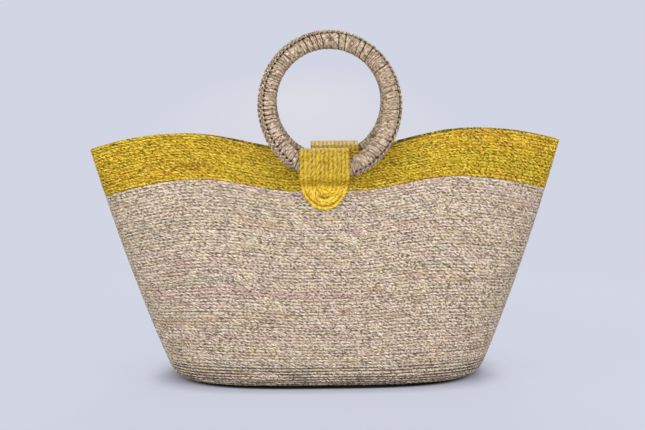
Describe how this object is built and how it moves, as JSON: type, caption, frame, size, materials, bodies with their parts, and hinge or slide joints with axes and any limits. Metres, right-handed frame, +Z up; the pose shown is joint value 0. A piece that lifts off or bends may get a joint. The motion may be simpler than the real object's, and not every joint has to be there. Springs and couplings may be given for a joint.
{
  "type": "tote bag",
  "caption": "Flared oval tote bag coiled from sewn palm braid, with a dyed band under its wavy rim and wrapped ring handles that swing in tabs folded over the rim.",
  "frame": {"origin": "middle of the base, on the floor it stands on", "axes": "+X along the bag's length, to the right of someone facing the front, +Y from the front to the rear, +Z up"},
  "size_m": [0.484, 0.15, 0.3563],
  "materials": {
    "natural_palm": "undyed palm braid, matt",
    "dyed_palm": "palm braid dyed yellow, matt",
    "ring_palm": "undyed palm strip, matt",
    "cane": "bare cane",
    "sewing_thread": "waxed thread"
  },
  "bodies": {
    "bag": {"base_coil": "natural_palm", "wall_braid_1": "natural_palm", "wall_braid_2": "natural_palm", "wall_braid_3": "natural_palm", "wall_braid_4": "natural_palm", "wall_braid_5": "natural_palm", "dyed_band_braid": "dyed_palm", "rim_braid": "dyed_palm", "front_tab": "dyed_palm", "front_tab_outer_stitching": "sewing_thread", "front_tab_inner_stitching": "sewing_thread", "rear_tab": "dyed_palm", "rear_tab_outer_stitching": "sewing_thread", "rear_tab_inner_stitching": "sewing_thread"},
    "front_ring": {"front_ring_core": "cane", "front_ring_wrap": "ring_palm", "front_ring_knot_ridge": "ring_palm"},
    "rear_ring": {"rear_ring_core": "cane", "rear_ring_wrap": "ring_palm", "rear_ring_knot_ridge": "ring_palm"}
  },
  "joints": [
    {"name": "front_ring_swing", "type": "hinge", "parent": "bag", "child": "front_ring", "pos_m": [0, -0.04931, 0.22159], "axis": [1, 0, 0], "range_deg": [0, 174]},
    {"name": "rear_ring_swing", "type": "hinge", "parent": "bag", "child": "rear_ring", "pos_m": [0, 0.04931, 0.22159], "axis": [-1, 0, 0], "range_deg": [0, 174]}
  ]
}
